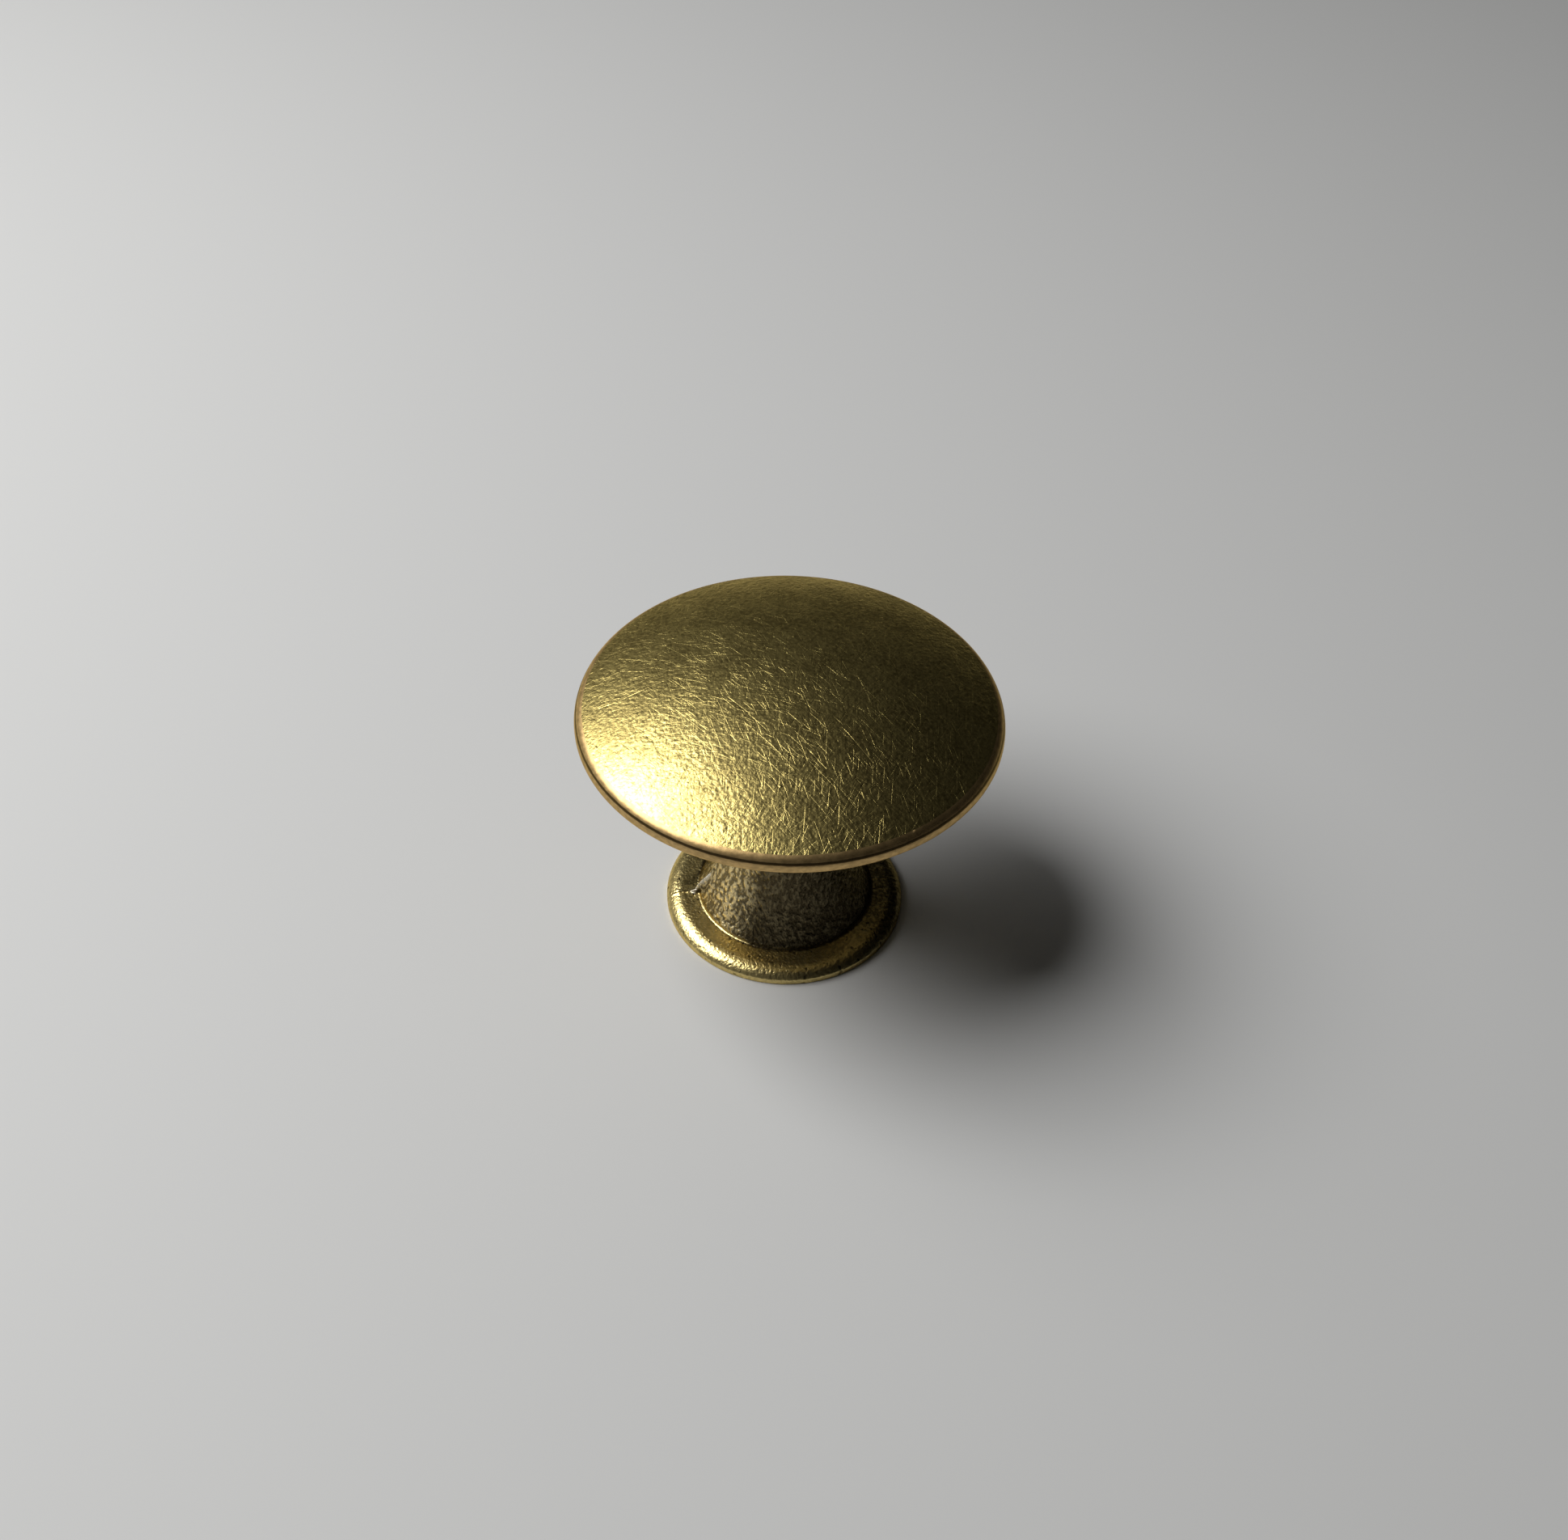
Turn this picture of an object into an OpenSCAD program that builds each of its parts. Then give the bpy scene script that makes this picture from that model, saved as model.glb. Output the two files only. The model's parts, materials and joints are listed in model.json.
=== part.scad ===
// Cabinet knob cast in one piece: a domed head on a waisted stem, which flares into a round foot.
// A blind screw hole runs up the stem from the foot's bottom face.
// The origin is the middle of that face, and +Z runs up the stem towards the dome.

/* [Head] */
// Diameter of the head at its widest
head_d = 32; // [26:0.5:38]
// Height of the whole knob, its projection from the door
knob_h = 23.8; // [22:0.2:30]
// Rise of the dome above the rim's band
dome_rise = 4; // [3:0.1:6]
// Height of the straight band round the rim
rim_band_h = 0.1; // [0.05:0.05:0.6]
// Radius of the rounding between the band and the dome
rim_top_r = 1; // [0.4:0.1:1.6]
// Radius of the rounding between the band and the underside
rim_under_r = 0.2; // [0.1:0.05:0.8]
// Slope of the head's underside near the rim, in degrees
under_slope = 12; // [4:1:18]

/* [Stem] */
// Diameter of the stem at its waist
waist_d = 9.2; // [8:0.2:11]
// Height of the waist above the foot's bottom face
waist_h = 9; // [7:0.2:11]
// Diameter of the stem where its flare meets the foot's top
flare_d = 13.9; // [12.5:0.2:15.1]
// Radius of the small fillet between the flare and the foot's top
flare_fillet_r = 0.3; // [0.1:0.05:0.6]

/* [Foot] */
// Diameter of the foot
foot_d = 19; // [18.4:0.2:24]
// Thickness of the foot
foot_h = 1.15; // [0.9:0.05:1.8]
// Height of the straight wall round the foot
foot_wall_h = 0.45; // [0.2:0.05:0.8]
// Radius of the rounding between the wall and the foot's top
foot_round_r = 1.5; // [0.8:0.1:2]
// Bevel along the foot's bottom edge
foot_bevel = 0.1; // [0.05:0.01:0.18]

/* [Screw hole] */
// Core diameter of the tapped hole
hole_core_d = 3.3; // [2.5:0.1:4.2]
// Diameter of the countersink at the hole's mouth
hole_mouth_d = 4.6; // [4.4:0.1:6]
// Depth of the hole, without the drill's point
hole_depth = 12; // [8:0.5:15]
// Angle of the drill's point, in degrees
drill_point_angle = 118; // [90:2:140]

/* [Finish] */
// Colour of the darkened brass finish
knob_colour = "#6E5A34"; // [#6E5A34:antique brass, #A8884A:polished brass, #3C3126:dark bronze]

/* [Hidden] */
// Facets round the axis, and steps along the short and the long arcs of the profile
$fn = 96;
short_steps = 5;
long_steps = 14;
// How far a cut runs past the face that it starts from
overrun = 0.5;

head_r = head_d / 2;
waist_r = waist_d / 2;
flare_r = flare_d / 2;
foot_r = foot_d / 2;

// Points of an arc, from one angle to another.
// An arc that starts where the last one ended leaves out its first point, with first = 1.
function arc(centre, radius, from, to, steps, first = 0) =
    [for (i = [first:steps]) let (a = from + (to - from) * i / steps) centre + radius * [cos(a), sin(a)]];

// The foot's rounding ends level with its top and starts at the wall
foot_round_low = foot_h - foot_round_r;
foot_round_start = asin((foot_wall_h - foot_round_low) / foot_round_r);
foot_round_centre = [foot_r - foot_round_r * cos(foot_round_start), foot_round_low];

// The lower sweep of the stem stands upright at the waist and passes through the flare's edge on the foot
flare_out = flare_r - waist_r;
flare_up = waist_h - foot_h;
lower_sweep_r = (flare_out * flare_out + flare_up * flare_up) / (2 * flare_out);
lower_sweep_centre = [waist_r + lower_sweep_r, waist_h];

// The fillet touches the foot's top and the lower sweep, and lies inside the sweep's circle
fillet_up = foot_h + flare_fillet_r;
fillet_drop = waist_h - fillet_up;
fillet_reach = lower_sweep_r - flare_fillet_r;
fillet_back = sqrt(fillet_reach * fillet_reach - fillet_drop * fillet_drop);
fillet_centre = [lower_sweep_centre.x - fillet_back, fillet_up];
fillet_angle = 180 + asin(fillet_drop / fillet_reach);

// The rim's band, and the end of the underside's cone on the rounding below it
band_top = knob_h - dome_rise;
band_low = band_top - rim_band_h;
under_round_centre = [head_r - rim_under_r, band_low];
cone_end = under_round_centre + rim_under_r * [sin(under_slope), -cos(under_slope)];

// The upper sweep stands upright at the waist and touches the cone of the head's underside
upper_sweep_r = ((waist_r - cone_end.x) * sin(under_slope) + (cone_end.y - waist_h) * cos(under_slope))
    / (1 - sin(under_slope));
upper_sweep_centre = [waist_r + upper_sweep_r, waist_h];

// The dome is part of a sphere that touches the rounding above the band
dome_reach = head_r - rim_top_r;
dome_r = (dome_reach * dome_reach + dome_rise * dome_rise - rim_top_r * rim_top_r)
    / (2 * (dome_rise - rim_top_r));
dome_centre = [0, knob_h - dome_r];
dome_edge_slope = asin(dome_reach / (dome_r - rim_top_r));

// The knob's outline on one side of its axis, from the foot's bottom face up to the top of the dome
module knob_outline() {
    foot = concat(
        [[0, 0], [foot_r - foot_bevel, 0], [foot_r, foot_bevel]],
        arc(foot_round_centre, foot_round_r, foot_round_start, 90, short_steps)
    );
    stem = concat(
        arc(fillet_centre, flare_fillet_r, 270, fillet_angle, short_steps),
        arc(lower_sweep_centre, lower_sweep_r, fillet_angle, 180, long_steps, 1),
        arc(upper_sweep_centre, upper_sweep_r, 180, 90 + under_slope, long_steps, 1)
    );
    head = concat(
        arc(under_round_centre, rim_under_r, under_slope - 90, 0, short_steps),
        arc([dome_reach, band_top], rim_top_r, 0, 90 - dome_edge_slope, short_steps),
        arc(dome_centre, dome_r, 90 - dome_edge_slope, 90, long_steps, 1)
    );
    polygon(concat(foot, stem, head));
}

// The core that a tap leaves: a countersunk mouth, a straight bore and the cone of the drill's point
module screw_hole() {
    mouth_depth = (hole_mouth_d - hole_core_d) / 2;
    point_depth = hole_core_d / 2 / tan(drill_point_angle / 2);
    translate([0, 0, -overrun])
        cylinder(d = hole_core_d, h = hole_depth + overrun);
    translate([0, 0, -overrun])
        cylinder(d1 = hole_mouth_d + 2 * overrun, d2 = hole_core_d, h = mouth_depth + overrun);
    translate([0, 0, hole_depth])
        cylinder(d1 = hole_core_d, d2 = 0, h = point_depth);
}

module knob() {
    color(knob_colour)
        difference() {
            rotate_extrude()
                knob_outline();
            screw_hole();
        }
}

knob();
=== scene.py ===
"""Dresses the cabinet knob in its darkened brass finish. The scene is in metres, and +Z runs up the stem."""

import json
import math

import bmesh
import bpy
from mathutils import Matrix, Vector


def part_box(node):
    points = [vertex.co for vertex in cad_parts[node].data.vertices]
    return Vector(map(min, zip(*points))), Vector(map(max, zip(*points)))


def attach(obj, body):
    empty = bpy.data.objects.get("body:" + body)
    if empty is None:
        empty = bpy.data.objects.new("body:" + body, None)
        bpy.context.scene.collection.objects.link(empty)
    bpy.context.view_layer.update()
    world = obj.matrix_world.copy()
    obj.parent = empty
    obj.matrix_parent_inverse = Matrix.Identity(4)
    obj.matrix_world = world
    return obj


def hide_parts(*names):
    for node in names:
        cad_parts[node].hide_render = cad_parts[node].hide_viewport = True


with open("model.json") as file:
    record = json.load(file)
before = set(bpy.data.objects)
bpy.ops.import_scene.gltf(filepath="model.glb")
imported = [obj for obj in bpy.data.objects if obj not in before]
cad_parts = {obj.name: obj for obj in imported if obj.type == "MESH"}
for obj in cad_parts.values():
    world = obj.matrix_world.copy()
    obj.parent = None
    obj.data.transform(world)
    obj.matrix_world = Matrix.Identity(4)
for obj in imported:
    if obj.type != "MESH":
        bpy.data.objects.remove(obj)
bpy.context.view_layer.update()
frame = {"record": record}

MM = 0.001
TURN = 2 * math.pi

# Sizes of the knob, in millimetres as in the part's source. The head's size comes from the frame itself.
CORNER_LOW, CORNER_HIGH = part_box("knob")
HEAD_R = (CORNER_HIGH[0] - CORNER_LOW[0]) / 2 / MM
KNOB_H = CORNER_HIGH[2] / MM
DOME_RISE = 4
RIM_BAND_H = 0.1
RIM_TOP_R = 1
RIM_UNDER_R = 0.2
UNDER_SLOPE = math.radians(12)
WAIST_R = 4.6
WAIST_H = 9
FLARE_R = 6.95
FLARE_FILLET_R = 0.3
FOOT_R = 9.5
FOOT_H = 1.15
FOOT_WALL_H = 0.45
FOOT_ROUND_R = 1.5
FOOT_BEVEL = 0.1
BAND_TOP = KNOB_H - DOME_RISE
BAND_LOW = BAND_TOP - RIM_BAND_H

# The tapped hole: its core is the record's, and the thread is cut outwards from it
HOLE_CORE_R = frame["record"]["mounts"][0]["dims"]["r_mm"]
HOLE_MOUTH_R = 2.3
HOLE_DEPTH = 12
THREAD_R = 2
THREAD_PITCH = 0.7
THREAD_DEPTH = 10
DRILL_POINT_HALF = math.radians(59)

# Facets round the axis, outside and in the hole, and rings in each turn of the thread
AROUND = 320
AROUND_HOLE = 96
THREAD_STEPS = 8

# Steps along each stretch of the outline, from the foot's bevel up to the top of the dome
STEPS = {
    "bevel": 3, "wall": 4, "foot_round": 16, "foot_top": 11, "fillet": 6, "flare": 24, "lower_sweep": 20,
    "upper_sweep": 30, "cone": 6, "rim_under": 6, "rim_band": 2, "rim_top": 12, "dome": 50,
}

# Share of the stem's lower sweep, from the foot up, that has the flare's finer steps
FLARE_SHARE = 1 / 3

# Points of the outline that lie closer than this, in millimetres, are one point
SAME_POINT = 1e-6

# Edges that turn by more than this are shaded sharp
SHARP_ANGLE = math.radians(50)

# Slots of the body's four finishes
DOME, RIM, CAST, THREAD = range(4)

# The finer facets on either side of the die's parting line, as angles from it
SEAM_STEPS = [math.radians(d) for d in (0.15, 0.35, 0.6, 0.9, 1.25, 1.65, 2.1, 2.6, 3.2, 4)]

# The parting line's ridge on the right and on the left: way along the outline from the foot's bottom edge,
# height there and half width. On the left a fin of flash fills the corner between foot and stem.
RIGHT_RIDGE = (
    (0, 0, 0.07), (0.2, 0, 0.07), (0.5, 0.02, 0.07), (3, 0.025, 0.07), (5, 0.02, 0.05), (9, 0.01, 0.04),
    (20, 0, 0.04),
)
LEFT_RIDGE = (
    (0, 0, 0.06), (0.2, 0, 0.06), (0.5, 0.015, 0.06), (1.2, 0.02, 0.06), (2, 0.02, 0.07), (2.6, 0.03, 0.1),
    (2.9, 0.2, 0.14), (3.3, 0.42, 0.14), (3.8, 0.45, 0.14), (4.3, 0.38, 0.13), (4.8, 0.25, 0.11),
    (5.4, 0.12, 0.08), (6.6, 0.02, 0.06), (9, 0.01, 0.04), (20, 0, 0.04),
)

# Small bumps and pits beside the left ridge: way along the outline, way to the front, radius and height
LEFT_MARKS = (
    (1.52, -0.2, 0.09, -0.1), (1.74, -0.43, 0.09, -0.06), (1.67, -0.01, 0.12, 0.05),
    (2.08, -0.1, 0.11, 0.045), (2.45, 0.03, 0.1, 0.035), (2.75, 0.3, 0.1, 0.04), (3, 0.22, 0.1, 0.04),
    (2.85, 0.55, 0.12, -0.08), (2.77, -1.65, 0.12, 0.04),
)

# Where the parting line stands round the axis, with its ridge and the marks beside it
SEAMS = (
    (math.radians(8), RIGHT_RIDGE, ()),
    (math.radians(188), LEFT_RIDGE, LEFT_MARKS),
)

# Each half of the die leaves the stem a little proud towards the seam: its height at the seam, how fast it
# falls off beside it, and the ways along the outline over which it sets in and dies out
CUSP_H = 0.09
CUSP_REACH = 1.0
CUSP_START = (3.3, 4.6)
CUSP_END = (12, 20)

# Distance from a seam beyond which it leaves the surface as it is
SEAM_REACH = 4 * CUSP_REACH

# Finishes. A noise has the three sizes of its grains, its detail, turn and shift. A span has the values at
# which a smooth change begins and ends, and sometimes the results there. A pair has the results at nought
# and at one. Sizes, places and heights are in millimetres, and sides are angles round the axis in degrees.

# Mean of a noise, how far apart the parts of it are that stretched noises use, and how far a noise of patches
# shifts a finer one
NOISE_MEAN = 0.5
NOISE_APART = 5
PATCH_SHARE = 0.3

# Colour that the brass keeps at grazing angles
EDGE_TINT = (1, 0.86, 0.55, 1)

# The dome: worn patches, and small blotches of patina
DOME_DARK = (0.36, 0.28, 0.098, 1)
DOME_BRIGHT = (0.76, 0.605, 0.215, 1)
DOME_ROUGHNESS = (0.325, 0.295)
DOME_TONE_SPAN = (0.3, 0.9)
DOME_PATCH = ((4, 4, 4), 2)
DOME_PATCH_SPAN = (0.3, 0.7)
DOME_BLOTCHES = ((0.32, 0.32, 0.32), 2)

# Rubbed scratches all over the dome: number of directions, length, width, turn and detail
FINE_STROKES = (7, 1.5, 0.3, 0.2, 1)
FINE_STRENGTH = (0.85, 1.15)
FINE_HEIGHT = 0.0112
FINER_STROKES = (5, 0.8, 0.2, 1.7, 1)
FINER_HEIGHT = 0.008
HAIRLINES = (8, 2.4, 0.13, 3.1, 0)
HAIRLINE_SPAN = (0.75, 0.84)
HAIRLINE_HEIGHT = -0.005

# The dome's larger scratches, from one place in plan to another, and its specks
SCRATCHES = (
    ((-12.2, -1.3), (-9.4, -0.1)), ((-14, -1.7), (-12.8, -1.5)), ((-12.7, 2), (-11, 1.4)),
    ((-4.5, -2.5), (-2.9, -4.2)), ((-2.4, -3), (-1.8, -3.8)), ((0.6, -1.3), (1.5, -3.9)),
    ((1.4, -7.4), (2.6, -8.8)), ((3.9, -5.3), (6, -8)), ((3, -9.6), (4.7, -11.6)),
    ((2.8, 0.4), (4.2, -0.2)),
)
SCRATCH_HALF = 0.09
SCRATCH_HEIGHT = -0.01
SCRATCH_TONE = 0.5
SPECKS = ((0.1, 4.5, 23.55), (6.5, -8.7, 22.3), (-0.5, -10.4, 22.4))
SPECK_R = 0.16
SPECK_HEIGHT = 0.03

# The rim: a dark line on its upper rounding, at an angle from upright, and a nick at the front
RIM_DARK = (0.1, 0.067, 0.028, 1)
RIM_BRIGHT = (0.76, 0.52, 0.225, 1)
RIM_ROUGHNESS = 0.4
RIM_GRAIN = ((0.5, 0.5, 0.25), 2)
RIM_GRAIN_TONE = (0.25, 0.75, 0.5, 0.85)
RIM_GRAIN_HEIGHT = 0.01
RIM_LINE_LEAN = math.radians(62)
RIM_LINE_R = HEAD_R - RIM_TOP_R + RIM_TOP_R * math.sin(RIM_LINE_LEAN)
RIM_LINE_Z = BAND_TOP + RIM_TOP_R * math.cos(RIM_LINE_LEAN)
RIM_LINE_SPAN = (0.14, 0.05)
RIM_LINE_TONE = -0.85
NICK = (8.7, -12.6, 20.76)
NICK_R = 0.3
NICK_HEIGHT = -0.05

# Foot and stem, and how far up the one becomes the other. Pairs have the foot's value and the stem's.
STEM_SPAN = (1.18, 1.4)
OXIDE = (0.055, 0.042, 0.022, 1)
FOOT_BRIGHT = (0.74, 0.59, 0.25, 1)
STEM_BRIGHT = (0.72, 0.6, 0.34, 1)
CAST_ROUGHNESS = (0.3, 0.31)
LUMPS = ((0.31, 0.31, 0.48), 3)
LUMP_HEIGHTS = (0.035, 0.18)
SMALL_LUMPS = ((0.22, 0.22, 0.3), 1, 0.4, 3)
SMALL_LUMP_HEIGHTS = (0.038, 0.04)
PITS = ((0.4, 0.4, 0.4), 0, 1.1, 6)
PIT_SPAN = (0.3, 0.22)
PIT_HEIGHT = -0.008

# Brass shows on the peaks of the casting, more on the foot than on the stem
CAST_PATCH = ((1.6, 1.6, 2.4), 2, 0, 9)
PEAK_SPAN = (0.58, 0.76)
FOOT_PEAK_TONE = (0.8, 1.1)
STEM_PEAK_TONE = (0.15, 1.05)

# Painted light: the stem's dark oxide is painted lighter on the key lamp's side. And how the underside of the
# head gets lighter
PAINTED_LIGHT_SIDE = 207
PAINTED_LIGHT_SPAN = (0.72, 1.0)
PAINTED_LIGHT_TONE = (0.14, 1.14)
UNDER_HEAD_SPAN = (12, 18, 0.0, 0.32)

# A dark line round the corner between foot and stem, and painted shade wider in that corner on the sides away
# from the key lamp.
# Lines have a radius, a height and a span.
CORNER_LINE = (FLARE_R + 0.12, FOOT_H + 0.12, 0.22, 0.05)
CORNER_LINE_TONE = 0.6
PAINTED_CORNER_SHADE_LINE = (FLARE_R - 0.05, FOOT_H + 0.15, 0.35, 0.1)
PAINTED_CORNER_SHADE_SPAN = (0.9, 0.74)
PAINTED_CORNER_SHADE_TONE = 0.8

# A painted highlight: a bright line is painted along the fillet at the stem's foot, on the side where the key
# lamp's highlight falls
FILLET_HIGHLIGHT_SIDE = 228
FILLET_HIGHLIGHT_SPAN = (0.93, 0.98)
FILLET_HIGHLIGHT_LINE = (FLARE_R - 0.05, FOOT_H + 0.09, 0.14, 0.05)

# The side of the foot away from the key lamp, darkened as painted shade, and the dirt in its pits
PAINTED_SHADE_SIDE = 0
PAINTED_SHADE_SPAN = (0.5, 1.0, 0.0, 0.7)
PIT_TONE = 0.6

# Dark patches behind the fin of flash, and the fin's painted shadow in front of it: centre, radius and
# strength
FIN_PATCHES_AND_PAINTED_SHADOW = (((-7.6, 0.1, 1.2), 0.9, 0.6), ((-7.1, 0.7, 1.2), 0.8, 0.2), ((-7.25, -1.25, 1.2), 0.3, 0.8))

# Painted glint: the crest of the fin of flash is painted near white where the key lamp's highlight falls on
# it
PAINTED_GLINT_ENDS = ((-7.4, -1.04, 1.15), (-6.05, -0.85, 3.05))
PAINTED_GLINT_HALF = 0.3
PAINTED_GLINT_COLOUR = (0.95, 0.9, 0.78, 1)
PAINTED_GLINT_ROUGHNESS = 0.25

# Bare metal in the tapped hole
THREAD_COLOUR = (0.42, 0.34, 0.17, 1)
THREAD_ROUGHNESS = 0.35

# The floor reaches this far from the middle, in metres
FLOOR_REACH = 3.0
FLOOR_COLOUR = (0.625, 0.625, 0.615, 1)
FLOOR_ROUGHNESS = 0.8

# Round lamps, all as far away and aimed at one place: angle round the axis, angle up, diameter in metres and
# power in watts
LAMPS = {"key": (176, 52, 0.34, 1.72), "fill": (150, 41, 0.2, 0.27)}
LAMP_AWAY = 0.42
LAMP_AIM = Vector((0, 0, 0.01))

# The room's light: its level in the middle, how it changes along the axes, and the least it comes to
ROOM_LEVEL = 0.05
ROOM_SLOPE = (-0.075, 0, -0.025)
ROOM_LEAST = 0.004
WHITE = (1, 1, 1, 1)

# The camera that the photograph was taken with, fitted to the rim, the foot and the flare
IMAGE_W = 1939
FOCAL_PX = 2400
SENSOR_MM = 36
CAMERA_DISTANCE = 0.15829
CAMERA_ELEVATION = math.radians(47.409)
CAMERA_ROLL = math.radians(1.730)
AIM_RIGHT = math.radians(-0.123)
AIM_UP = math.radians(3.672)
CLIP_START = 0.005
CLIP_END = 20


def arc(centre, radius, start, end, steps):
    """Points of an arc in the (r, z) plane, both ends included."""
    angles = [start + (end - start) * i / steps for i in range(steps + 1)]
    return [(centre[0] + radius * math.cos(a), centre[1] + radius * math.sin(a)) for a in angles]


def line(start, end, steps):
    """Points from start to end, both included."""
    return [tuple(s + (e - s) * i / steps for s, e in zip(start, end)) for i in range(steps + 1)]


def join(*stretches):
    """Joins stretches of an outline and drops the points that repeat."""
    points = []
    for stretch in stretches:
        for p in stretch:
            if not points or math.dist(points[-1], p) > SAME_POINT:
                points.append(p)
    return points


def foot_outline():
    low = FOOT_H - FOOT_ROUND_R
    start = math.asin((FOOT_WALL_H - low) / FOOT_ROUND_R)
    centre = (FOOT_R - FOOT_ROUND_R * math.cos(start), low)
    return join(
        arc((FOOT_R - FOOT_BEVEL, FOOT_BEVEL), FOOT_BEVEL, -math.pi / 2, 0, STEPS["bevel"]),
        line((FOOT_R, FOOT_BEVEL), (FOOT_R, FOOT_WALL_H), STEPS["wall"]),
        arc(centre, FOOT_ROUND_R, start, math.pi / 2, STEPS["foot_round"]),
        line((centre[0], FOOT_H), (FLARE_R + FLARE_FILLET_R, FOOT_H), STEPS["foot_top"]),
    )


def stem_outline():
    """The fillet on the foot, two sweeps that meet upright at the waist, and the cone under the head."""
    out, up = FLARE_R - WAIST_R, WAIST_H - FOOT_H
    sweep_r = (out * out + up * up) / (2 * out)
    sweep_centre = (WAIST_R + sweep_r, WAIST_H)
    reach, drop = sweep_r - FLARE_FILLET_R, up - FLARE_FILLET_R
    fillet_centre = (sweep_centre[0] - math.sqrt(reach * reach - drop * drop), FOOT_H + FLARE_FILLET_R)
    meet = math.pi + math.asin(drop / reach)
    knee = meet + (math.pi - meet) * FLARE_SHARE
    slope_sin, slope_cos = math.sin(UNDER_SLOPE), math.cos(UNDER_SLOPE)
    cone_end = (HEAD_R - RIM_UNDER_R + RIM_UNDER_R * slope_sin, BAND_LOW - RIM_UNDER_R * slope_cos)
    upper_r = ((WAIST_R - cone_end[0]) * slope_sin + (cone_end[1] - WAIST_H) * slope_cos) / (1 - slope_sin)
    upper_centre = (WAIST_R + upper_r, WAIST_H)
    upper = arc(upper_centre, upper_r, math.pi, math.pi / 2 + UNDER_SLOPE, STEPS["upper_sweep"])
    return join(
        arc(fillet_centre, FLARE_FILLET_R, 3 * math.pi / 2, meet, STEPS["fillet"]),
        arc(sweep_centre, sweep_r, meet, knee, STEPS["flare"]),
        arc(sweep_centre, sweep_r, knee, math.pi, STEPS["lower_sweep"]),
        upper,
        line(upper[-1], cone_end, STEPS["cone"]),
    )


def head_outline():
    """The rim's band between its two roundings, and the dome as a stretch of its own."""
    reach = HEAD_R - RIM_TOP_R
    dome_r = (reach * reach + DOME_RISE * DOME_RISE - RIM_TOP_R * RIM_TOP_R) / (2 * (DOME_RISE - RIM_TOP_R))
    edge = math.pi / 2 - math.asin(reach / (dome_r - RIM_TOP_R))
    under_centre = (HEAD_R - RIM_UNDER_R, BAND_LOW)
    rim = join(
        arc(under_centre, RIM_UNDER_R, UNDER_SLOPE - math.pi / 2, 0, STEPS["rim_under"]),
        line((HEAD_R, BAND_LOW), (HEAD_R, BAND_TOP), STEPS["rim_band"]),
        arc((reach, BAND_TOP), RIM_TOP_R, 0, edge, STEPS["rim_top"]),
    )
    return rim, arc((0, KNOB_H - dome_r), dome_r, edge, math.pi / 2, STEPS["dome"])


def turns():
    """Angles of the meridians: even steps, with finer ones beside both seams."""
    seams = [seam for seam, _, _ in SEAMS]
    reach = SEAM_STEPS[-1] + TURN / AROUND / 2
    even = [TURN * i / AROUND for i in range(AROUND)]
    kept = [a for a in even if min(abs(a - s) for s in seams) > reach]
    fine = [s + side * d for s in seams for side in (-1, 1) for d in SEAM_STEPS]
    return sorted(kept + fine + seams)


def table(rows, way):
    """The row at one way along a table, with its values in proportion between the rows that are given."""
    for low, high in zip(rows, rows[1:]):
        if way <= high[0]:
            share = max(0, (way - low[0]) / (high[0] - low[0]))
            return [a + (b - a) * share for a, b in zip(low[1:], high[1:])]
    return rows[-1][1:]


def smooth(low, high, value):
    """Goes smoothly from nought to one while the value goes from low to high."""
    t = min(1, max(0, (value - low) / (high - low)))
    return t * t * (3 - 2 * t)


def seam_lift(way, r, turn):
    """How far the surface stands off the plain outline near the seams, in millimetres."""
    lift = 0
    for seam, ridge, marks in SEAMS:
        off = ((turn - seam + math.pi) % TURN - math.pi) * r
        if abs(off) > SEAM_REACH:
            continue
        height, half = table(ridge, way)
        lift += height * math.exp(-(off / half) ** 2)
        fade = smooth(*CUSP_START, way) * (1 - smooth(*CUSP_END, way))
        lift += CUSP_H * fade * math.exp(-abs(off) / CUSP_REACH)
        for at, to_front, radius, rise in marks:
            apart = math.hypot(way - at, off - to_front)
            lift += rise * math.exp(-(apart / radius) ** 2)
    return lift


def vertex(bm, r, turn, z):
    """Adds a point at a distance from the axis, an angle round it and a height."""
    return bm.verts.new((r * math.cos(turn) * MM, r * math.sin(turn) * MM, z * MM))


def band(bm, low, high, slot):
    """Joins two closed rings with the same number of points by quads."""
    for i in range(len(low)):
        j = (i + 1) % len(low)
        bm.faces.new((low[i], low[j], high[j], high[i])).material_index = slot


def fan(bm, ring, point, slot):
    """Closes a ring by triangles to one point."""
    for i in range(len(ring)):
        bm.faces.new((ring[i], ring[(i + 1) % len(ring)], point)).material_index = slot


def stitch(bm, inner, outer, inner_turns, outer_turns, slot):
    """Joins two closed rings with different numbers of points by triangles, going once round."""
    i = j = 0
    faces = []
    while i < len(inner) or j < len(outer):
        next_inner = inner_turns[i + 1] if i + 1 < len(inner) else TURN + inner_turns[0]
        next_outer = outer_turns[j + 1] if j + 1 < len(outer) else TURN + outer_turns[0]
        if j >= len(outer) or (i < len(inner) and next_inner <= next_outer):
            faces.append((inner[i], inner[(i + 1) % len(inner)], outer[j % len(outer)]))
            i += 1
        else:
            faces.append((inner[i % len(inner)], outer[(j + 1) % len(outer)], outer[j]))
            j += 1
    for corners in faces:
        bm.faces.new(corners).material_index = slot


def thread_radius(z, turn):
    """Radius of the hole: a V thread, the countersink over its start and the plain core past its end."""
    phase = (z / THREAD_PITCH - turn / TURN) % 1
    groove = 1 - abs(2 * phase - 1)
    runout = 1 - smooth(THREAD_DEPTH - THREAD_PITCH, THREAD_DEPTH, z)
    radius = HOLE_CORE_R + (THREAD_R - HOLE_CORE_R) * groove * runout
    return max(radius, HOLE_MOUTH_R - z)


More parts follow.
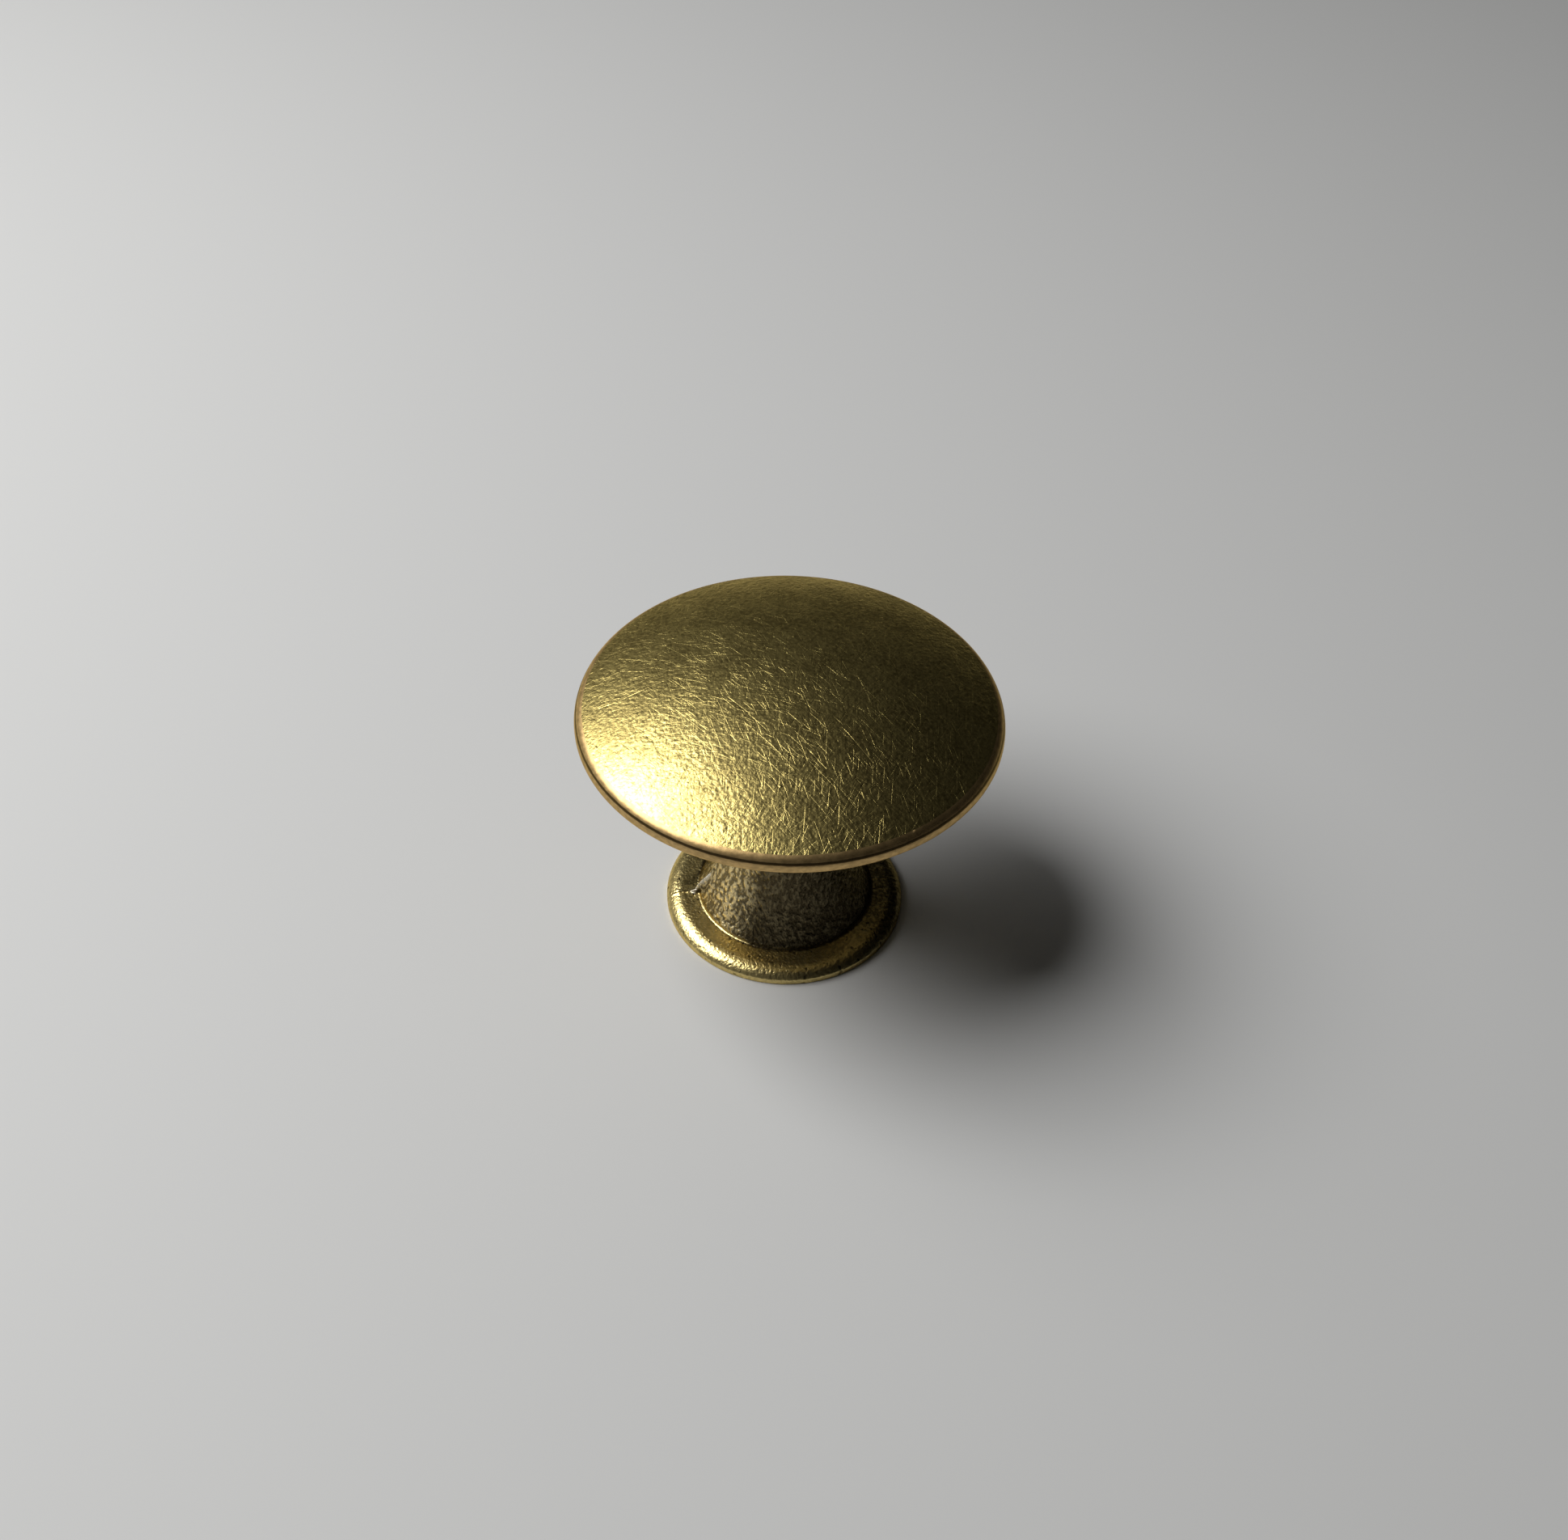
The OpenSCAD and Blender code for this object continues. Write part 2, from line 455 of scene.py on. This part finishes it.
def hole(bm):
    """Walls of the hole from its mouth to the drill's point. Returns the mouth's ring and its angles."""
    angles = [TURN * i / AROUND_HOLE for i in range(AROUND_HOLE)]
    step = THREAD_PITCH / THREAD_STEPS
    levels = [step * i for i in range(math.ceil(THREAD_DEPTH / step) + 1)] + [HOLE_DEPTH]
    rings = [[vertex(bm, thread_radius(z, a), a, z) for a in angles] for z in levels]
    for low, high in zip(rings, rings[1:]):
        band(bm, high, low, THREAD)
    point = vertex(bm, 0, 0, HOLE_DEPTH + HOLE_CORE_R / math.tan(DRILL_POINT_HALF))
    fan(bm, rings[-1][::-1], point, THREAD)
    return rings[0], angles


def outer_rings(bm, outline, cast_count, angles):
    """A ring for each point of the outline. Those of foot and stem, but for the first, carry the seams."""
    rings = []
    way = 0
    for k, (r, z) in enumerate(outline):
        before, after = outline[max(0, k - 1)], outline[min(len(outline) - 1, k + 1)]
        run, rise = after[0] - before[0], after[1] - before[1]
        size = math.hypot(run, rise)
        way += math.dist(before, (r, z))
        lifts = [seam_lift(way, r, a) if 0 < k < cast_count else 0 for a in angles]
        rings.append([
            vertex(bm, r + lift * rise / size, a, z - lift * run / size) for lift, a in zip(lifts, angles)
        ])
    return rings


def knob_mesh():
    """The whole knob as one closed surface, from the hole in its foot to the top of its dome."""
    rim, dome = head_outline()
    cast = join(foot_outline(), stem_outline())
    outline = join(cast, rim, dome)[:-1]
    slots = [CAST] * (len(cast) - 1) + [RIM] * (len(rim) - 1) + [DOME] * (len(dome) - 2)
    angles = turns()
    bm = bmesh.new()
    rings = outer_rings(bm, outline, len(cast), angles)
    for low, high, slot in zip(rings, rings[1:], slots):
        band(bm, low, high, slot)
    fan(bm, rings[-1], vertex(bm, 0, 0, KNOB_H), DOME)
    mouth, mouth_angles = hole(bm)
    stitch(bm, mouth, rings[0], mouth_angles, angles, CAST)
    mesh = bpy.data.meshes.new("knob_body")
    bm.to_mesh(mesh)
    bm.free()
    mesh.shade_smooth()
    mesh.set_sharp_from_angle(angle=SHARP_ANGLE)
    return mesh


def put(tree, socket, value):
    """Links a node's output to a socket, or sets the socket to a plain value."""
    if isinstance(value, bpy.types.NodeSocket):
        tree.links.new(value, socket)
    else:
        socket.default_value = value


def add(tree, kind, inputs, output=0, **settings):
    """Adds a node, fills its inputs, and returns one of its outputs."""
    node = tree.nodes.new(kind)
    for name, value in settings.items():
        setattr(node, name, value)
    for name, value in inputs.items():
        put(tree, node.inputs[name], value)
    return node.outputs[output]


def calc(tree, operation, *values):
    return add(tree, "ShaderNodeMath", dict(enumerate(values)), operation=operation)


def vector(tree, operation, *values, output="Vector"):
    return add(tree, "ShaderNodeVectorMath", dict(enumerate(values)), output, operation=operation)


def distance(tree, place, other):
    return vector(tree, "DISTANCE", place, other, output="Value")


def dot(tree, place, other):
    return vector(tree, "DOT_PRODUCT", place, other, output="Value")


def total(tree, terms):
    result = terms[0]
    for term in terms[1:]:
        result = calc(tree, "ADD", result, term)
    return result


def weighted(tree, terms):
    """Sum of values, each times its weight."""
    return total(tree, [calc(tree, "MULTIPLY", value, weight) for value, weight in terms])


def between(tree, share, start, end):
    """Goes straight from start to end while the share goes from nought to one."""
    return calc(tree, "MULTIPLY_ADD", share, end - start, start)


def ramp(tree, value, low, high, start=0.0, end=1.0):
    """Goes smoothly from start to end while the value goes from low to high."""
    settings = {"Value": value, "From Min": low, "From Max": high, "To Min": start, "To Max": end}
    return add(tree, "ShaderNodeMapRange", settings, interpolation_type="SMOOTHSTEP")


def mix(tree, share, start, end):
    """Goes from one colour to another. The node's colour sockets are told apart only by their numbers."""
    return add(tree, "ShaderNodeMix", {"Factor": share, 6: start, 7: end}, 2, data_type="RGBA")


def millimetres(tree):
    """Where the shaded point lies on the object."""
    where = add(tree, "ShaderNodeTexCoord", {}, "Object")
    return vector(tree, "MULTIPLY", where, (1 / MM, 1 / MM, 1 / MM))


def plan(tree, place):
    """The same place at height nought."""
    return vector(tree, "MULTIPLY", place, (1, 1, 0))


def height_of(tree, place):
    return dot(tree, place, (0, 0, 1))


def section(tree, place):
    """The place in the outline's plane: its distance from the axis and its height."""
    radius = vector(tree, "LENGTH", plan(tree, place), output="Value")
    return add(tree, "ShaderNodeCombineXYZ", {"X": radius, "Y": height_of(tree, place)})


def facing(tree, outward, side):
    """Cosine of the angle between the way outwards and a side of the knob, which is given in degrees."""
    turn = math.radians(side)
    return dot(tree, outward, (math.cos(turn), math.sin(turn), 0))


def spot(tree, place, centre, radius):
    """One at a centre and nought beyond a radius."""
    return ramp(tree, distance(tree, place, centre), radius, 0)


def streak(tree, place, start, end, half):
    """A straight line between two places, one along it and nought beside it."""
    a, b = Vector(start), Vector(end)
    along = b - a
    offset = vector(tree, "SUBTRACT", place, a)
    share = add(tree, "ShaderNodeClamp", {"Value": dot(tree, offset, along / along.length_squared)})
    nearest = vector(tree, "MULTIPLY", along, share)
    return ramp(tree, distance(tree, offset, nearest), half, 0)


def round_line(tree, cut, r, z, beyond, within):
    """A line round the axis, one within a distance of it and nought beyond another."""
    return ramp(tree, distance(tree, cut, (r, z, 0)), beyond, within)


def grain(tree, place, cell, detail=1.0, turn=0.0, shift=0.0, flat=False):
    """Noise whose grains are as large as the cell's three sizes, in millimetres."""
    mapping = {"Vector": place, "Location": (shift, shift / 2, 0), "Rotation": (0, 0, turn), "Scale": cell}
    cells = add(tree, "ShaderNodeMapping", mapping, vector_type="TEXTURE")
    noise = {"Vector": cells, "Scale": 1.0, "Detail": detail}
    return add(tree, "ShaderNodeTexNoise", noise, noise_dimensions="2D" if flat else "3D")


def crossed(tree, place, count, length, width, turn, detail):
    """Flat noises stretched in several directions, each from another part of the noise."""
    noises = []
    for i in range(count):
        shift = turn + NOISE_APART * i
        noises.append(grain(tree, place, (length, width, 1), detail, math.pi * i / count + turn, shift, True))
    return noises


def strokes(tree, place, pattern):
    """Fine scratches in several directions over the dome, as the sum of stretched noises round zero."""
    noises = crossed(tree, place, *pattern)
    return total(tree, [calc(tree, "SUBTRACT", noise, NOISE_MEAN) for noise in noises])


def hairlines(tree, place, pattern):
    """Sparse long scratches in several directions, one where a scratch runs and nought beside it."""
    noises = crossed(tree, place, *pattern)
    return total(tree, [ramp(tree, noise, *HAIRLINE_SPAN) for noise in noises])


def dome_finish(tree):
    """Colour, roughness and height of the rubbed and scratched dome."""
    place = millimetres(tree)
    flat = plan(tree, place)
    patch = ramp(tree, grain(tree, place, *DOME_PATCH), *DOME_PATCH_SPAN)
    fine = calc(tree, "MULTIPLY", strokes(tree, place, FINE_STROKES), between(tree, patch, *FINE_STRENGTH))
    finer = strokes(tree, place, FINER_STROKES)
    long_lines = hairlines(tree, place, HAIRLINES)
    scratches = total(tree, [streak(tree, flat, (*a, 0), (*b, 0), SCRATCH_HALF) for a, b in SCRATCHES])
    specks = total(tree, [spot(tree, place, centre, SPECK_R) for centre in SPECKS])
    height = weighted(tree, (
        (fine, FINE_HEIGHT), (finer, FINER_HEIGHT), (long_lines, HAIRLINE_HEIGHT),
        (scratches, SCRATCH_HEIGHT), (specks, SPECK_HEIGHT),
    ))
    blotches = calc(tree, "MULTIPLY_ADD", patch, PATCH_SHARE, grain(tree, place, *DOME_BLOTCHES))
    tone = calc(tree, "MULTIPLY_ADD", scratches, SCRATCH_TONE, ramp(tree, blotches, *DOME_TONE_SPAN))
    return mix(tree, tone, DOME_DARK, DOME_BRIGHT), between(tree, patch, *DOME_ROUGHNESS), height


def rim_finish(tree):
    """Colour, roughness and height of the rim, with its dark line."""
    place = millimetres(tree)
    dark_line = round_line(tree, section(tree, place), RIM_LINE_R, RIM_LINE_Z, *RIM_LINE_SPAN)
    small = grain(tree, place, *RIM_GRAIN)
    nick = spot(tree, place, NICK, NICK_R)
    clean = ramp(tree, small, *RIM_GRAIN_TONE)
    tone = total(tree, [clean, calc(tree, "MULTIPLY", dark_line, RIM_LINE_TONE), nick])
    height = weighted(tree, ((small, RIM_GRAIN_HEIGHT), (nick, NICK_HEIGHT)))
    return mix(tree, tone, RIM_DARK, RIM_BRIGHT), RIM_ROUGHNESS, height


def soil_and_painted_shade(tree, place, cut, outward, pits):
    """Darkening of the foot: dirt in its pits, a dark line in its corner, dark patches and the fin's painted
    shadow beside the fin, and painted shade in the corner and on the side away from the key lamp.
    """
    # Painted shade: the corner is darkened wider on the sides away from the key lamp
    away_from_lamp = ramp(tree, facing(tree, outward, PAINTED_LIGHT_SIDE), *PAINTED_CORNER_SHADE_SPAN)
    painted_corner_shade = calc(tree, "MULTIPLY", round_line(tree, cut, *PAINTED_CORNER_SHADE_LINE), away_from_lamp)
    # Painted shade on the side of the foot away from the key lamp
    painted_shade_side = ramp(tree, facing(tree, outward, PAINTED_SHADE_SIDE), *PAINTED_SHADE_SPAN)
    terms = [(painted_corner_shade, PAINTED_CORNER_SHADE_TONE), (round_line(tree, cut, *CORNER_LINE), CORNER_LINE_TONE), (pits, PIT_TONE)]
    # Dark patches behind the fin, and its painted shadow in front of it
    terms += [(spot(tree, place, centre, radius), strength) for centre, radius, strength in FIN_PATCHES_AND_PAINTED_SHADOW]
    return calc(tree, "ADD", weighted(tree, terms), painted_shade_side)


def cast_finish(tree):
    """Colour, roughness and height of foot and stem. The stem keeps more of its oxide than the foot."""
    place = millimetres(tree)
    cut = section(tree, place)
    outward = vector(tree, "NORMALIZE", plan(tree, place))
    up = height_of(tree, place)
    on_stem = ramp(tree, up, *STEM_SPAN)
    lumps = grain(tree, place, *LUMPS)
    small = grain(tree, place, *SMALL_LUMPS)
    pits = ramp(tree, grain(tree, place, *PITS), *PIT_SPAN)
    height = weighted(tree, (
        (lumps, between(tree, on_stem, *LUMP_HEIGHTS)),
        (small, between(tree, on_stem, *SMALL_LUMP_HEIGHTS)),
        (pits, PIT_HEIGHT),
    ))
    patch = grain(tree, place, *CAST_PATCH)
    peaks = ramp(tree, calc(tree, "MULTIPLY_ADD", patch, PATCH_SHARE, lumps), *PEAK_SPAN)
    clean_foot = between(tree, peaks, *FOOT_PEAK_TONE)
    foot_tone = calc(tree, "SUBTRACT", clean_foot, soil_and_painted_shade(tree, place, cut, outward, pits))
    # Painted light: the stem's oxide is painted lighter on the side toward the key lamp, over the brass on
    # its peaks
    painted_light = between(tree, ramp(tree, facing(tree, outward, PAINTED_LIGHT_SIDE), *PAINTED_LIGHT_SPAN), *PAINTED_LIGHT_TONE)
    peaks_and_painted_light = calc(tree, "MULTIPLY", painted_light, between(tree, peaks, *STEM_PEAK_TONE))
    stem_tone = calc(tree, "ADD", peaks_and_painted_light, ramp(tree, up, *UNDER_HEAD_SPAN))
    cast_tone = add(tree, "ShaderNodeMix", {"Factor": on_stem, "A": foot_tone, "B": stem_tone})
    # Painted highlight: a bright line along the fillet, on the side that the key lamp lights
    highlight_side = ramp(tree, facing(tree, outward, FILLET_HIGHLIGHT_SIDE), *FILLET_HIGHLIGHT_SPAN)
    painted_highlight = calc(tree, "MULTIPLY", highlight_side, round_line(tree, cut, *FILLET_HIGHLIGHT_LINE))
    # Painted glint along the crest of the fin of flash
    painted_glint = streak(tree, place, *PAINTED_GLINT_ENDS, PAINTED_GLINT_HALF)
    tone = total(tree, [cast_tone, painted_glint, painted_highlight])
    brass = mix(tree, tone, OXIDE, mix(tree, on_stem, FOOT_BRIGHT, STEM_BRIGHT))
    roughness = calc(tree, "MULTIPLY_ADD", painted_glint, PAINTED_GLINT_ROUGHNESS, between(tree, on_stem, *CAST_ROUGHNESS))
    return mix(tree, painted_glint, brass, PAINTED_GLINT_COLOUR), roughness, height


def thread_finish(_):
    """Colour and roughness of the tapped hole, which has no relief of its own."""
    return THREAD_COLOUR, THREAD_ROUGHNESS, None


def surface(name):
    """A new material, with its node tree and its shader's inputs."""
    material = bpy.data.materials.new(name)
    material.use_nodes = True
    tree = material.node_tree
    return material, tree, tree.nodes["Principled BSDF"].inputs


def metal(name, finish):
    """Metal whose colour, roughness and height in millimetres come from the nodes that a finish builds."""
    material, tree, inputs = surface(name)
    colour, roughness, height = finish(tree)
    put(tree, inputs["Metallic"], 1)
    put(tree, inputs["Specular Tint"], EDGE_TINT)
    put(tree, inputs["Base Color"], colour)
    put(tree, inputs["Roughness"], roughness)
    if height is not None:
        relief = {"Strength": 1.0, "Distance": MM, "Height": height}
        put(tree, inputs["Normal"], add(tree, "ShaderNodeBump", relief))
    return material


def stand(name, data):
    """Puts a mesh, lamp or camera into the scene as a new object."""
    thing = bpy.data.objects.new(name, data)
    bpy.context.collection.objects.link(thing)
    return thing


def plain_floor():
    corners = [(x * FLOOR_REACH, y * FLOOR_REACH, 0) for x, y in ((-1, -1), (1, -1), (1, 1), (-1, 1))]
    mesh = bpy.data.meshes.new("floor")
    mesh.from_pydata(corners, [], [(0, 1, 2, 3)])
    material, tree, inputs = surface("pale_floor")
    put(tree, inputs["Base Color"], FLOOR_COLOUR)
    put(tree, inputs["Roughness"], FLOOR_ROUGHNESS)
    mesh.materials.append(material)
    floor = stand("floor", mesh)


def lights():
    for name, (side, up, size, power) in LAMPS.items():
        light = bpy.data.lights.new(name, "AREA")
        light.shape = "DISK"
        light.size = size
        light.energy = power
        side, up = math.radians(side), math.radians(up)
        level = math.cos(up)
        way = Vector((level * math.cos(side), level * math.sin(side), math.sin(up)))
        lamp = stand(name, light)
        lamp.location = way * LAMP_AWAY
        lamp.rotation_euler = (LAMP_AIM - lamp.location).to_track_quat("-Z", "Y").to_euler()


def room():
    """A dim room, a little lighter on the side that the light comes from."""
    world = bpy.data.worlds.new("room")
    bpy.context.scene.world = world
    world.use_nodes = True
    tree = world.node_tree
    direction = add(tree, "ShaderNodeTexCoord", {}, "Generated")
    level = calc(tree, "ADD", dot(tree, direction, ROOM_SLOPE), ROOM_LEVEL)
    background = tree.nodes["Background"].inputs
    put(tree, background["Strength"], calc(tree, "MAXIMUM", level, ROOM_LEAST))
    put(tree, background["Color"], WHITE)


def photo_camera():
    data = bpy.data.cameras.new("photo")
    data.sensor_width = SENSOR_MM
    data.lens = FOCAL_PX / IMAGE_W * SENSOR_MM
    data.clip_start = CLIP_START
    data.clip_end = CLIP_END
    place = Vector((0, -math.cos(CAMERA_ELEVATION), math.sin(CAMERA_ELEVATION))) * CAMERA_DISTANCE
    ahead = -place.normalized()
    side = Vector((1, 0, 0))
    above = side.cross(ahead)
    ahead = (ahead + side * math.tan(AIM_RIGHT) + above * math.tan(AIM_UP)).normalized()
    side = ahead.cross(Vector((0, 0, 1))).normalized()
    above = side.cross(ahead)
    right = side * math.cos(CAMERA_ROLL) + above * math.sin(CAMERA_ROLL)
    up = above * math.cos(CAMERA_ROLL) - side * math.sin(CAMERA_ROLL)
    camera = stand("photo", data)
    turn = Matrix((right, up, -ahead)).transposed().to_4x4()
    camera.matrix_world = Matrix.Translation(place) @ turn
    bpy.context.scene.camera = camera


photo_camera()
plain_floor()
lights()
room()
body = stand("knob_body", knob_mesh())
body.data.materials.append(metal("antique_brass_dome", dome_finish))
body.data.materials.append(metal("antique_brass_rim", rim_finish))
body.data.materials.append(metal("antique_brass_cast", cast_finish))
body.data.materials.append(metal("antique_brass_thread", thread_finish))
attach(body, "root")
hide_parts("knob")
bpy.context.scene.view_settings.view_transform = "Standard"
